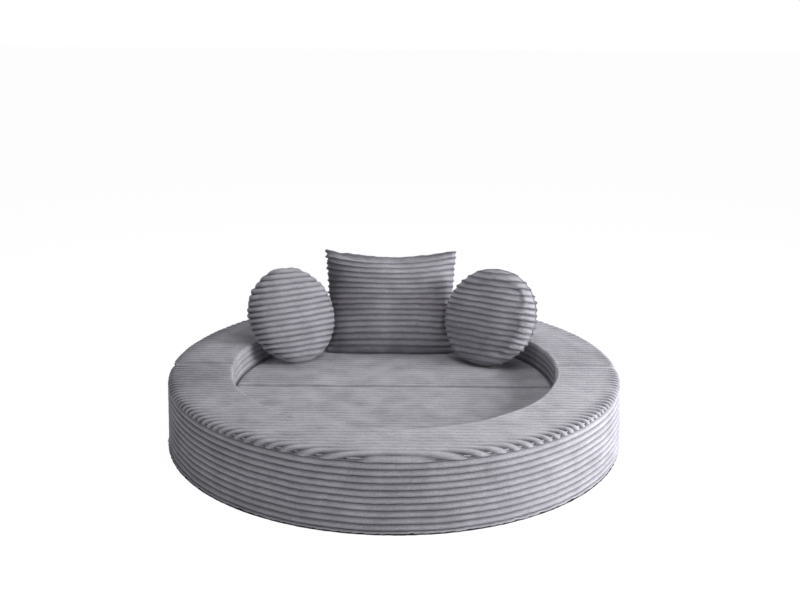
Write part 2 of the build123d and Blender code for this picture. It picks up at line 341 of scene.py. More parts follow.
# %% Rules for the ring's top
TOP_STEPS = 800
GATHER_FROM, GATHER_SHARE, GATHER_EASE = 0.850, 0.62, 0.012
COMB_FROM, COMB_WIDTH, COMB_POWER = 0.835, 0.045, 0.55
FULL_VALLEY, FULL_ROLL = 0.0075, 0.012
TOP_END_ROLL, WALL_END_ROLL = 0.007, 0.006
# Painted shade on the top's left and rear right, and painted light at its front, where the lamps' light falls
# off.
TOP_PAINTED_LIGHT_AND_SHADE = (
    (0.40, (-0.77, -0.14), (0.15, 0.17)),
    (0.26, (0.76, 0.12), (0.18, 0.28)),
    (-0.16, (0.30, -0.74), (0.42, 0.16)),
)


def gather(flat_radius):
    """Near the outer edge the cloth is drawn in, so the ribs there come closer together."""
    over = np.clip(flat_radius - GATHER_FROM, 0, None)
    return flat_radius - GATHER_SHARE * over**2 / (over + GATHER_EASE)


# %% Make the ring's top panels
def ring_top(half, side, seed):
    top, index = half_sweep(f"{half}_ring_top", section, TOP_STEPS)
    points = ease_to_split(read_points(top), side, RING_START)
    depth, flat_radius, way = section_depth[index], section_radius[index], section_normals[index]
    ray = from_axis(points)[1]
    cloth = np.column_stack([ray * gather(flat_radius)[:, None], np.zeros(len(points))])
    place = (np.abs(cloth[:, 1]) - RING_START) / PITCH + noises(cloth, seed, (0.09, 0.35), (0.04, 0.09))
    comb = np.clip((flat_radius - COMB_FROM) / COMB_WIDTH, 0, 1) * (depth > 0)
    valley = 1 - rib_height(place, 0.62 + COMB_POWER * comb)
    depth = depth * (1 + 0.28 * soft_noise(cloth, 0.12, seed + 2))
    swell = noises(cloth, seed + 3, (0.0012, 0.22), (0.0005, 0.05))
    end_roll = roll_in(np.abs(points[:, 1]) - RING_START, TOP_END_ROLL) * (flat_radius > 0)
    lift = np.where(depth > 0, swell - depth * valley, 0) - end_roll
    points[:, :2] += ray * (way[:, 0] * lift)[:, None]
    points[:, 2] += way[:, 1] * lift
    write_points(top, round_corners(points))
    # The mask paints shade in the valleys, deeper in the comb, and where the ends roll in at the split. The
    # spots add painted shade and light, and the noise is a random mottle of the pile.
    painted_shade_and_mottle = spots(points[:, 0], points[:, 1], TOP_PAINTED_LIGHT_AND_SHADE)
    painted_shade_and_mottle += 0.05 * soft_noise(cloth * (0.4, 1, 1), 0.08, seed + 5)
    dark = depth * (1 + 0.25 * comb) * valley / FULL_VALLEY + end_roll / FULL_ROLL
    write_mask(top, "valley", np.clip(dark + painted_shade_and_mottle, 0, 1))
    finish(top)
    print(top.name, len(top.data.polygons), "faces, top at", round(points[:, 2].max(), 4))
    return top


tops = {half: ring_top(half, side, SEEDS[half]) for half, side in SIDES.items()}

# %% [markdown]
# ## The ring's walls
# The outer and inner walls wear the same plush with its ribs level. Ten ribs of about
# 25 mm fit between the base and the seam. Their section is drawn rib by rib, with points
# close together in the valleys where the shape is tight, and swept like the tops. The
# real wall isn't turned on a lathe, though: it bellies, its ribs waver, short creases
# cross them and its lower seam is ruffled.

# %% Section of a wall
RIB_PLACES = (0, 0.05, 0.14, 0.3, 0.5, 0.7, 0.86, 0.95)
WALL_RIB_POWER = 0.82
HEM_STEPS = ((0, 0.5), (0.18, 0.1), (0.5, 0), (0.82, 0.25))
ZIP_BAND_DEPTH = 0.0068


def wall_section(face, back, low, high, rib_depth, hem, band):
    """A closed section: ribs on the face, a rounded hem if asked, and a plain back."""
    foot = low + hem
    count = round((high - foot) / PITCH)
    pitch = (high - foot) / count
    heights = [foot + pitch * (rib + place) for rib in range(count) for place in RIB_PLACES] + [high]
    depths = [rib_depth * (1 - rib_height((z - foot) / pitch, WALL_RIB_POWER)) for z in heights]
    if hem:
        heights = [low + hem * place for place, _ in HEM_STEPS] + heights
        depths = [rib_depth * share for _, share in HEM_STEPS] + depths
    if band:
        depths = [ZIP_BAND_DEPTH if band[0] <= z <= band[1] else d for z, d in zip(heights, depths)]
    away = math.copysign(1, face - back)
    front = [(face - away * depth, z) for depth, z in zip(depths, heights)]
    return front + [(back, high - 0.0005), (back, low + 0.0005)], len(front), away


def creases(around, height, seed, count=14, deep=0.0022):
    """A few short upright creases at random places round a wall, as cloth gets on the way."""
    draw = np.random.default_rng(seed)
    total = np.zeros(len(height))
    for _ in range(count):
        place, level = draw.uniform(0, around.max()), draw.uniform(0.05, 0.22)
        wide, tall = draw.uniform(0.003, 0.006), draw.uniform(0.02, 0.05)
        slant = draw.uniform(-0.4, 0.4)
        off = around - place - slant * (height - level)
        total -= deep * hump(off, wide) * hump(height - level, tall)
    return total


print(len(RIB_PLACES), "points across a rib")

# %% Sweep a wall
HEM_FLARE, SUNNY_BELLY = 0.0075, 0.006


def wall_lift(points, ray, share, face, low, seed, belly, hem):
    """How far each point of a wall stands out from its even section."""
    around = np.column_stack([ray * face, points[:, 2] * 0.35])
    level = np.column_stack([ray * face, points[:, 2] * 2.0])
    walk = np.arccos(np.clip(ray[:, 0], -1, 1)) * face
    lift = belly * np.sin(math.pi * share) + noises(around, seed, (0.0010, 0.16), (0.0006, 0.024))
    lift += 0.0004 * soft_noise(level, 0.012, seed + 2) + creases(walk, points[:, 2], seed + 9)
    if hem:
        ruffle = 0.0030 * soft_noise(around, 0.034, seed + 3) + 0.0012 * soft_noise(around, 0.013, seed + 7)
        lift += hump(points[:, 2] - low, 0.007) * (0.0030 + ruffle) + HEM_FLARE * (1 - share) ** 2
        lift += np.clip(ray[:, 0], 0, 1) * SUNNY_BELLY * np.sin(math.pi * share**0.7)
    return lift, around


def ring_wall(
    name, side, face, back, high, start, steps, seed,
    rib_depth=0.0078, belly=0.0012, hem=0.0, band=None, shade=1.0, painted_shade=0.0,
):
    """A ribbed wall round half a turn. shade scales the painted shade in its valleys, and
    the last argument the painted shade on the right, which faces away from the lamps."""
    low = BASE
    section, shown, away = wall_section(face, back, low, high, rib_depth, hem, band)
    wall, index = half_sweep(name, section, steps)
    points = ease_to_split(read_points(wall), side, start)
    radius, ray = from_axis(points)
    shows = index < shown
    share = np.clip((points[:, 2] - low) / (high - low), 0, 1)
    valley = (1 - away * (radius - (face - away * rib_depth)) / rib_depth) * shows
    lift, around = wall_lift(points, ray, share, face, low, seed, belly, hem)
    end_roll = roll_in(np.abs(points[:, 1]) - start, WALL_END_ROLL)
    points[:, :2] += ray * (away * (lift - end_roll) * shows)[:, None]
    waver = noises(around, seed + 4, (0.0015, 0.19), (0.0006, 0.04))
    points[:, 2] += shows * waver * np.sin(math.pi * share) ** 0.5
    if hem:
        ruffle = 0.0016 * np.abs(soft_noise(around, 0.026, seed + 6))
        points[:, 2] += shows * hump(points[:, 2] - low, 0.012) * ruffle
    write_points(wall, round_corners(points) if face == RING_OUTER else points)
    # Painted shade: in the valleys, where the ends roll in at the split, and on the right of the inner walls,
    # which face away from the lamps.
    painted_shade_and_mottle = painted_shade * np.clip(ray[:, 0], 0, 1)
    write_mask(wall, "valley", np.clip(shade * valley + end_roll / FULL_ROLL + painted_shade_and_mottle, 0, 1))
    finish(wall)
    print(name, len(wall.data.polygons), "faces")
    return wall


# %% Make the ring's walls
RING_ZIP_BAND = (0.030, 0.054)
outer_walls, inner_walls = {}, {}
for half, side in SIDES.items():
    seed = SEEDS[half] + 100
    outer_walls[half] = ring_wall(
        f"{half}_ring_outer_cover", side, RING_OUTER, RING_OUTER - COVER, RING_SEAM, RING_START,
        640, seed, hem=0.008,
    )
    inner_walls[half] = ring_wall(
        f"{half}_ring_inner_cover", side, RING_INNER - 0.0002, RING_INNER + COVER, RING_SEAM, RING_START,
        400, seed + 20, rib_depth=0.0048, belly=0.0005, band=RING_ZIP_BAND, shade=0.55, painted_shade=0.5,
    )

# %% [markdown]
# ## The ring's ends
# Where the ring comes apart, each end is closed with a panel of the same plush, with a
# patch of hook-and-loop tape on it. A panel starts as a thin block, bevelled all round
# like a pad, and is cut across into rows so that the ribs can be pressed into it.

# %% A ribbed block
def cut_across(block, low, high, cuts):
    """Cuts a block into equal slices along each axis."""
    for axis, count in enumerate(cuts):
        normal = [0, 0, 0]
        normal[axis] = 1
        for step in range(1, count):
            place = low + (high - low) * step / count
            focus(block)
            with editing():
                bpy.ops.mesh.bisect(plane_co=tuple(place), plane_no=tuple(normal))


def ribbed_block(name, low, high, facing, seed, cuts, bevel, rib_depth, band=None):
    """A padded block between two corners, with level ribs on the side that faces along Y.
    band is a plain strip's lower and upper level, and how deep it lies."""
    low, high = np.array(low, float), np.array(high, float)
    deselect()
    bpy.ops.mesh.primitive_cube_add(size=1, location=tuple((low + high) / 2), scale=tuple(high - low))
    block = new_piece(name)
    bpy.ops.object.transform_apply(location=True, rotation=True, scale=True)
    with editing():
        bpy.ops.mesh.bevel(offset=bevel, segments=4, affect="EDGES", clamp_overlap=True)
    cut_across(block, low, high, cuts)
    points = read_points(block)
    face = high[1] if facing > 0 else low[1]
    near = np.clip(1 - np.abs(points[:, 1] - face) / (0.5 * (high[1] - low[1])), 0, 1)
    sink = near * rib_depth * (1 - rib_height((points[:, 2] - low[2]) / PITCH))
    if band:
        sink = np.where((points[:, 2] > band[0]) & (points[:, 2] < band[1]), near * band[2], sink)
    points[:, 1] -= facing * (sink + near * 0.0006 * (1 + soft_noise(points, 0.05, seed)))
    write_points(block, points)
    # Painted shade in the valleys and in the sunken band.
    write_mask(block, "valley", np.clip(sink / 0.006, 0, 1))
    finish(block)
    return block


# %% Make the end panels
end_panels = {}
for half, side in SIDES.items():
    pair = []
    near, far = sorted((side * (RING_END + 0.0002), side * (RING_START + 0.0005)))
    for number, hand in enumerate((-1, 1)):
        left, right = sorted((hand * (RING_INNER + 0.001), hand * (RING_OUTER - 0.001)))
        pair.append(ribbed_block(
            f"{half}_ring_end_{number}", (left, near, BASE), (right, far, RING_TOP - 0.002), -side,
            SEEDS[half] + 200 + number, cuts=(8, 1, 66), bevel=0.0085, rib_depth=0.003,
        ))
    panels = end_panels[half] = join(pair, f"{half}_ring_ends")
    write_points(panels, round_corners(read_points(panels)))
    print(panels.name, len(panels.data.polygons), "faces")

# %% [markdown]
# ## The mats' top panels
# A mat's top is half a disc of plush, its ribs from left to right too, turned down 20 mm
# to a seam over the straight and the round edge. It starts as a grid whose rows follow
# the ribs, each row as long as the half disc is wide there, so no point is wasted.

# %% Lay a grid out as half a disc
MAT_ROWS, MAT_INSIDE = 206, 52
EDGE_GAPS = np.array([0, 0.002, 0.0045, 0.0075, 0.011, 0.015, 0.020, 0.027, 0.036])


def half_disc(name, start, outer):
    """A grid, with each point's place across and along the flat cloth of half a disc."""
    count = len(EDGE_GAPS)
    columns = MAT_INSIDE + 2 * count
    deselect()
    bpy.ops.mesh.primitive_grid_add(x_subdivisions=columns - 1, y_subdivisions=MAT_ROWS - 1, size=2)
    piece = new_piece(name)
    points = read_points(piece)
    column = np.rint((points[:, 0] + 1) / 2 * (columns - 1)).astype(int)
    row = np.rint((points[:, 1] + 1) / 2 * (MAT_ROWS - 1)).astype(int)
    along = start + (outer - 0.0004 - start) * row / (MAT_ROWS - 1)
    half_width = np.sqrt(outer**2 - np.maximum(along, 0) ** 2)
    squeeze = np.minimum(1, half_width / (2 * EDGE_GAPS[-1]))
    from_side = np.minimum(column, columns - 1 - column)
    gap = EDGE_GAPS[np.minimum(from_side, count - 1)] * squeeze
    near_side = np.where(column < columns / 2, -1, 1) * (half_width - gap)
    middle = (column - (count - 1)) / (columns - 1 - 2 * (count - 1)) * 2 - 1
    across = np.where(from_side < count, near_side, middle * (half_width - EDGE_GAPS[-1] * squeeze))
    return piece, across, along


def turn_down(distance, radius, length):
    """Where cloth lies that goes over an edge: how far out, how far down and how far turned."""
    angle = np.clip((length - distance) / radius, 0, None)
    bent = np.minimum(angle, math.pi / 2)
    rest = np.maximum(angle - math.pi / 2, 0) * radius
    return np.sin(bent) * radius, (1 - np.cos(bent)) * radius + rest, angle


def close_below(piece, side):
    """Tucks the open edge in under the piece and closes it with one face."""
    focus(piece)
    with editing("DESELECT"):
        bpy.ops.mesh.select_mode(type="EDGE")
        bpy.ops.mesh.select_non_manifold()
        bpy.ops.mesh.extrude_region_move(TRANSFORM_OT_translate={"value": (0, 0, -0.001)})
        bpy.ops.transform.resize(value=(0.985, 0.985, 1), center_override=(0, side * 0.25, MAT_SEAM))
        bpy.ops.mesh.edge_face_add()
        bpy.ops.mesh.select_mode(type="VERT")


print("half a disc has", (MAT_INSIDE + 2 * len(EDGE_GAPS)) * MAT_ROWS, "points")

# %% Make the mats' top panels
RIM_ROLL, SPLIT_ROLL = 0.011, {"front": 0.011, "rear": 0.018}
MAT_RIBS = ((0, 0.0012), (0.012, 0.0032), (0.03, 0.0028), (0.06, 0.0022))
# Painted shade along the rear mat's front edge, darkest at its left, where the edge rolls down at the split.
MAT_PAINTED_SHADE = {
    "front": (),
    "rear": ((0.30, (-0.50, 0.06), (0.10, 0.05)), (0.16, (0.30, 0.05), (0.22, 0.06))),
}


def mat_top(half, side, seed):
    split_roll = SPLIT_ROLL[half]
    skirt, split_skirt = (
        roll * (math.pi / 2 - 1) + MAT_TOP - MAT_SEAM for roll in (RIM_ROLL, split_roll)
    )
    cloth_outer, cloth_start = MAT_RADIUS + skirt - RIM_ROLL, MAT_END - split_skirt + split_roll
    top, across, along = half_disc(f"{half}_mat_top", cloth_start, cloth_outer)
    cloth = np.column_stack([across, along, np.zeros(len(across))])
    flat = np.hypot(across, along)
    from_rim, from_split = cloth_outer - flat, along - cloth_start
    out_rim, down_rim, angle_rim = turn_down(from_rim, RIM_ROLL, skirt)
    out_split, down_split, angle_split = turn_down(from_split, split_roll, split_skirt)
    scale = np.where(angle_rim > 0, MAT_RADIUS - RIM_ROLL + out_rim, flat) / np.maximum(flat, 1e-6)
    y = np.where(angle_split > 0, MAT_END + split_roll - out_split, along * scale)
    limit = np.sqrt(np.maximum(MAT_RADIUS**2 - y**2, 0))
    x = np.clip(across * scale, -limit, limit)
    down = np.minimum(np.maximum(down_rim, down_split), MAT_TOP - MAT_SEAM)
    depth = by_steps(np.minimum(from_rim, from_split), MAT_RIBS)
    depth = depth * (1 + 0.30 * soft_noise(cloth, 0.11, seed + 2))
    place = (along - MAT_START) / PITCH + noises(cloth, seed, (0.09, 0.4), (0.03, 0.09))
    valley = 1 - rib_height(place)
    lift = noises(cloth, seed + 3, (0.0016, 0.28), (0.0006, 0.06)) - depth * valley
    level = np.cos(np.minimum(np.maximum(angle_rim, angle_split), math.pi / 2))
    write_points(top, np.column_stack([x, side * y, MAT_TOP - down + lift * np.maximum(level, 0.2)]))
    # The mask paints shade in the valleys and on the edges that turn down, and adds the spots above. The
    # noise is a random mottle of the pile.
    painted_shade_and_mottle = 0.10 * soft_noise(cloth * (0.45, 1, 1), 0.10, seed + 5)
    painted_shade_and_mottle += 0.06 * soft_noise(cloth * (0.3, 1, 1), 0.035, seed + 6)
    painted_shade_and_mottle += spots(across, along, MAT_PAINTED_SHADE[half])
    dark = depth * valley / 0.006 + np.clip(down / 0.03, 0, 0.6)
    write_mask(top, "valley", np.clip(dark + painted_shade_and_mottle, 0, 1))
    close_below(top, side)
    finish(top)
    print(top.name, len(top.data.polygons), "faces")
    return top


mat_tops = {half: mat_top(half, side, SEEDS[half] + 300) for half, side in SIDES.items()}

# %% [markdown]
# ## The mats' walls
# The round rim is a swept wall like the ring's. The straight wall at the split is a block
# with ribs pressed into its face, between which a plain band carries the zip.

# %% Make the mats' walls
MAT_ZIP_BAND = (0.0965, 0.1235, 0.0063)
rims, straights = {}, {}
for half, side in SIDES.items():
    seed = SEEDS[half] + 400
    rims[half] = ring_wall(
        f"{half}_mat_rim_cover", side, MAT_RADIUS, MAT_RADIUS - COVER, MAT_SEAM, MAT_START,
        240, seed, belly=0,
    )
    reach = math.sqrt(MAT_RADIUS**2 - MAT_START**2)
    near, far = sorted((side * MAT_END, side * MAT_START))
    straights[half] = ribbed_block(
        f"{half}_mat_straight_cover", (-reach, near, BASE), (reach, far, MAT_SEAM), -side,
        seed + 30, cuts=(24, 1, 42), bevel=0.001, rib_depth=0.005, band=MAT_ZIP_BAND,
    )
    print(straights[half].name, len(straights[half].data.polygons), "faces")

# %% [markdown]
# ## The foam blocks
# Foam fills each half ring and each mat. It never shows while the covers are on, but a
# reusable model has it, so each block is a plain spun section with softened edges.

# %% Make the foam blocks
HUB = 0.02  # where the section of a half disc begins, so that the spin leaves no pole


def foam_section(inner, outer, low, high, soft=0.006):
    section = arc_points((outer - soft, low + soft), (soft, soft), -90, 0, 4)
    section += arc_points((outer - soft, high - soft), (soft, soft), 0, 90, 4)
    if inner == 0:
        return section + [(HUB, high), (HUB, low)]
    section += arc_points((inner + soft, high - soft), (soft, soft), 90, 180, 4)
    return section + arc_points((inner + soft, low + soft), (soft, soft), 180, 270, 4)


INSIDE = COVER + 0.001  # how far the foam lies inside its cover's outer face
FOAMS = (  # each block's inner and outer radius, its start at the split and its top
    ("ring", RING_INNER + INSIDE, RING_OUTER - INSIDE, RING_START, RING_TOP - INSIDE),
    ("mat", 0, MAT_RADIUS - INSIDE, MAT_START, MAT_TOP - INSIDE - 0.001),
)

foams = {}
for half, side in SIDES.items():
    for part, inner, outer, start, top in FOAMS:
        foam = half_spin(f"{half}_{part}_foam_block", foam_section(inner, outer, BASE, top), 64)
        points = ease_to_split(read_points(foam), side, start + 0.001)
        write_points(foam, round_corners(points) if part == "ring" else points)
        finish(foam, 40)
        foams[half, part] = foam
print("foam blocks:", [foam.name for foam in foams.values()])

# %% [markdown]
# ## The base cloths
# Black non-slip cloth closes each foam block underneath. From the front it is a thin
# dark line that wavers, because the cloth is puckered where it is sewn to the plush.
# Under the ring it reaches out past the hem, so that its black edge also stands in
# for the contact shadow there.

# %% Make the base cloths
BASE_LIP = 0.0035
BASE_EDGE = ((0.004, 0), (0.0008, 0.0006), (0, BASE_LIP / 2), (0.0008, BASE_LIP), (0.004, BASE))
# The ring's base reaches out past the wall: a black edge that is partly real and partly painted contact
# shadow.
BASE_REACH = {"ring": 0.0105, "mat": -0.001}

bases = {}
for half, side in SIDES.items():
    for part, inner, outer, start in (
        ("ring", RING_INNER, RING_OUTER, RING_END), ("mat", 0, MAT_RADIUS, MAT_END),
    ):
        section = [(outer - back, height) for back, height in BASE_EDGE]
        if inner:
            section += [(inner + back, height) for back, height in reversed(BASE_EDGE)]
        else:
            section += [(HUB, BASE), (HUB, 0)]
        base = half_spin(f"{half}_{part}_base_cloth", section, 300)
        points = ease_to_split(read_points(base), side, start)
        radius, ray = from_axis(points)
        around = np.column_stack([ray * outer, np.zeros(len(points))])
        puckered = 0.0012 * soft_noise(around, 0.03, SEEDS[half] + 500) + BASE_REACH[part]
        points[:, :2] += ray * (hump(radius - outer, 0.004) * puckered)[:, None]
        write_points(base, round_corners(points) if part == "ring" else points)
        finish(base, 40)
        bases[half, part] = base
print("bases:", [base.name for base in bases.values()])

# %% [markdown]
# ## Zips, sliders and joining patches
# None of these shows in the photograph, since the mats hide them, but they come into
# view when the bed is taken apart. A zip is one fine section: a flat tape with a chain
# along its middle, swept along its way. The teeth are pressed into the chain by a wave
# that is half a tooth off between the two rows, so that they mesh.

# %% A zip
TOOTH = 0.0042
CHAIN_HALF = 0.0042
ZIP_HALF = [
    (0.0, 0.0110), (0.0008, 0.0108), (0.0009, 0.0090), (0.0008, 0.0045),
    (0.0014, 0.0031), (0.0022, 0.0029), (0.0023, 0.0016), (0.0020, 0.0003),
]
ZIP_SECTION = [(off, -across) for off, across in ZIP_HALF] + ZIP_HALF[::-1]


def make_zip(name, length, put):
    """put turns a place along the zip, a height off its back and a place across it into points."""
    section = [(1 + off, across) for off, across in ZIP_SECTION]
    zipper, _ = half_sweep(name, section, round(length / TOOTH * 4))
    points = read_points(zipper)
    along = np.arctan2(points[:, 1], points[:, 0]) / math.pi * length
    off, across = np.hypot(points[:, 0], points[:, 1]) - 1, points[:, 2]
    chain = np.abs(across) < CHAIN_HALF
    phase = along / TOOTH * 2 * math.pi + np.where(across > 0, math.pi, 0)
    tooth = 0.5 + 0.5 * np.sin(phase)
    off = np.where(chain & (off > 0.001), off - 0.0009 * (1 - tooth), off)
    across = np.where(chain, across * (0.93 + 0.10 * tooth), across)
    write_points(zipper, put(along, off, across))
    # Painted shade between the teeth.
    write_mask(zipper, "valley", np.where(chain, 0.2 + 0.8 * (1 - tooth), 0.0))
    finish(zipper, 40)
    return zipper


# %% Make the zips
RING_ZIP_RADIUS, RING_ZIP_MARGIN, RING_ZIP_LEVEL = 0.6539, 0.0893, 0.042
MAT_ZIP_HALF, MAT_ZIP_BACK, MAT_ZIP_LEVEL = 0.5519, 0.0075, 0.110
ring_zip_start = math.asin(RING_ZIP_MARGIN / RING_ZIP_RADIUS)
ring_zip_length = (math.pi - 2 * ring_zip_start) * RING_ZIP_RADIUS

zips = {}
for half, side in SIDES.items():
    def round_the_ring(along, off, across):
        angle = ring_zip_start + along / RING_ZIP_RADIUS
        radius = RING_ZIP_RADIUS - off
        return np.column_stack(
            [radius * np.cos(angle), side * radius * np.sin(angle), RING_ZIP_LEVEL + across]
        )

    def along_the_mat(along, off, across):
        back = side * (MAT_ZIP_BACK - off * 1.3)
        return np.column_stack([along - MAT_ZIP_HALF, back, MAT_ZIP_LEVEL + across])

    zips[half, "ring"] = make_zip(f"{half}_ring_zip_chain", ring_zip_length, round_the_ring)
    zips[half, "mat"] = make_zip(f"{half}_mat_zip_chain", 2 * MAT_ZIP_HALF, along_the_mat)
print("zips:", [(item.name, len(item.data.polygons)) for item in zips.values()])

# %% Make the sliders
SLIDER_PARTS = (  # each block's size, its place and its bevel
    ((0.0140, 0.0014, 0.0108), (0, -0.0019, 0), 0.0006),
    ((0.0100, 0.0030, 0.0030), (0.0005, 0, 0), 0.0005),
    ((0.0132, 0.0012, 0.0100), (0, 0.0016, 0), 0.0005),
    ((0.0080, 0.0011, 0.0022), (0, -0.0026, 0), 0.0004),
)


def make_slider(name, along, out, middle):
    """A zip slider without a pull tab: two plates, a bridge and a cast rim."""
    parts = []
    for size, place, soft in SLIDER_PARTS:
        deselect()
        bpy.ops.mesh.primitive_cube_add(size=1, location=place, scale=size)
        bpy.ops.object.transform_apply(location=True, rotation=True, scale=True)
        with editing():
            bpy.ops.mesh.bevel(offset=soft, segments=3, affect="EDGES", clamp_overlap=True)
        parts.append(bpy.context.object)
    slider = join(parts, name)
    points = read_points(slider)
    points[:, 2] *= 1 - 0.28 * np.clip(points[:, 0] / 0.007, 0, 1) ** 2
    write_points(slider, points @ np.array([along, out, (0, 0, 1)], float) + middle)
    finish(slider, 40)
    return slider


sliders = {}
for half, side in SIDES.items():
    for part in ("ring", "mat"):
        low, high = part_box(f"{half}_{part}_zip_slider")
        middle = (np.array(low) + np.array(high)) / 2
        out = np.array([middle[0], middle[1], 0]) / math.hypot(middle[0], middle[1])
        if part == "mat":
            out = np.array([0, side, 0])
        sliders[half, part] = make_slider(f"{half}_{part}_slider", np.cross(out, (0, 0, 1)), out, middle)
print("sliders:", len(sliders))

# %% Make the joining patches
PATCH_WIDTH = 0.120
PATCH_BACK = 0.0020


def joining_patch(side, hand, low, high):
    """One patch of looped tape: a fine grid with loops, a stitched rim and a thin edge."""
    deselect()
    bpy.ops.mesh.primitive_grid_add(x_subdivisions=96, y_subdivisions=120, size=1, location=(0, 0, 0))
    patch = bpy.context.object
    points = read_points(patch)
    u, v = points[:, 0] * 2, points[:, 1] * 2
    wide, tall = PATCH_WIDTH / 2, (high.z - low.z) / 2
    rim = np.minimum((1 - np.abs(u)) * wide, (1 - np.abs(v)) * tall)
    stitch = hump(rim - 0.005, 0.0009)
    loops = soft_noise(np.column_stack([u * wide, v * tall, np.zeros(len(u))]), 0.004, 900 + hand, 12)
    pile = 0.86 + 0.10 * np.clip(loops, -1, 1) - 0.30 * stitch
    height = (high.y - low.y) * np.clip(rim / 0.0012, 0, 1) ** 0.5 * pile
    middle_x, middle_z = hand * (high.x - wide), (low.z + high.z) / 2
    write_points(patch, np.column_stack([
        middle_x + u * wide, side * (PATCH_BACK - height), middle_z + v * tall,
    ]))
    write_mask(patch, "valley", np.clip(0.25 - 0.25 * loops + stitch, 0, 1))
    with editing():
        bpy.ops.mesh.fill_holes(sides=0)
    return patch


patches = {}
for half, side in SIDES.items():
    low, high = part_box(f"{half}_ring_join_patches")
    pair = [joining_patch(side, hand, low, high) for hand in (-1, 1)]
    patches[half] = join(pair, f"{half}_joining_patches")
    finish(patches[half], 50)
print("patches:", [len(patch.data.polygons) for patch in patches.values()])

# %% [markdown]
# ## Sewing and filling the cushions
# Every cushion is two equal sheets of plush sewn together and stuffed. So it starts as
# two grids, stitched along their outline and already swollen a little less than the real
# one. Blender's cloth then blows it up by pressure from inside, which tightens the crown
# and pulls at the seam. How far a point may move is limited softly, so the form stays in
# the room that the CAD model gives it. The ribs come last, along their lines on the flat
# sheets, whose places are kept as masks until then.

# %% Two sewn sheets
def sewn_sheets(name, outline, swollen, columns, rows):
    """outline gives a point's flat and its swollen place across and up, and swollen how
    far it stands off the middle plane."""
    deselect()
    bpy.ops.mesh.primitive_grid_add(x_subdivisions=columns, y_subdivisions=rows, size=2)
    sheet = new_piece(name)
    points = read_points(sheet)
    u, v = points[:, 0], points[:, 1]
    flat_x, flat_z, x, z = outline(u, v)
    write_points(sheet, np.column_stack([x, -swollen(u, v), z]))
    write_mask(sheet, "sheet_x", flat_x)
    write_mask(sheet, "sheet_z", flat_z)
    write_mask(sheet, "inside", np.minimum(1 - np.abs(u), 1 - np.abs(v)))
    with editing():
        bpy.ops.mesh.duplicate()
        bpy.ops.transform.resize(value=(1, -1, 1), center_override=(0, 0, 0))
        bpy.ops.mesh.select_all(action="SELECT")
        bpy.ops.mesh.remove_doubles(threshold=0.00002)
        bpy.ops.mesh.normals_make_consistent(inside=False)
    return sheet


# %% Blow up a sewn cushion
MOVE_LIMIT = 0.012
CLOTH_FRAMES = 20
CLOTH_SETTINGS = dict(
    quality=5, mass=0.3, air_damping=2, tension_stiffness=15, compression_stiffness=15,
    shear_stiffness=5, bending_stiffness=2, use_pressure=True, uniform_pressure_force=4,
)


def blow_up(cushion):
    """Runs the cloth with pressure inside and no weight."""
    focus(cushion)
    cloth = cushion.modifiers.new("stuffing", "CLOTH")
    for setting, value in CLOTH_SETTINGS.items():
        setattr(cloth.settings, setting, value)
    cloth.settings.effector_weights.gravity = 0
    cloth.point_cache.frame_start = 1
    cloth.point_cache.frame_end = CLOTH_FRAMES + 2
    for number in range(1, CLOTH_FRAMES + 1):
        scene.frame_set(number)
    bpy.ops.object.modifier_apply(modifier=cloth.name)
    scene.frame_set(1)


def fill_cushion(cushion, size):
    """Blows a cushion up, limits how far its points go and brings it to its real size."""
    start = read_points(cushion)
    blow_up(cushion)
    moved = read_points(cushion) - start
    far = np.linalg.norm(moved, axis=1)
    points = start + moved / np.sqrt(1 + (far / MOVE_LIMIT) ** 2)[:, None]
    points -= (points.max(0) + points.min(0)) / 2
    print(cushion.name, "moved", round(far.max(), 3), "filled to", np.round(np.ptp(points, axis=0), 3))
    write_points(cushion, points * (np.array(size) / np.ptp(points, axis=0)))


# %% Shape and refine a filled cushion
def push_foot(cushion, ahead, half_height):
    """Brings the lower edge of a leaning cushion forward, where it has slid on the mat."""
    points = read_points(cushion)
    points[:, 1] -= ahead * np.clip(-points[:, 2] / half_height, 0, 1) ** 3
    write_points(cushion, points)


def refine(cushion, sharpness=0.6, levels=2):
    """Subdivides a cushion, with a crease that keeps its seam from going round."""
    mesh = cushion.data
    seam = read_mask(cushion, "inside") < 0.001
    ends = np.empty(len(mesh.edges) * 2, int)
    mesh.edges.foreach_get("vertices", ends)
    creased = seam[ends.reshape(-1, 2)].all(1) * sharpness
    mesh.attributes.new("crease_edge", "FLOAT", "EDGE").data.foreach_set("value", creased.astype(np.float32))
    focus(cushion)
    finer = cushion.modifiers.new("finer", "SUBSURF")
    finer.levels = finer.render_levels = levels
    bpy.ops.object.modifier_apply(modifier=finer.name)


print("cushion helpers ready")

# %% [markdown]
# ## Ribs on a cushion
# The ribs follow the sheet, so they bend over the crown by themselves. Towards the side
# seams the cloth is gathered, which deepens the valleys and pinches the rib ends, each
# by another amount and more on one side than on the other.

# %% Raise the ribs
RIB_DEPTH = 0.0070
GATHER_REACH = 0.042
PINCHED, SLACK = 1.25, 0.7


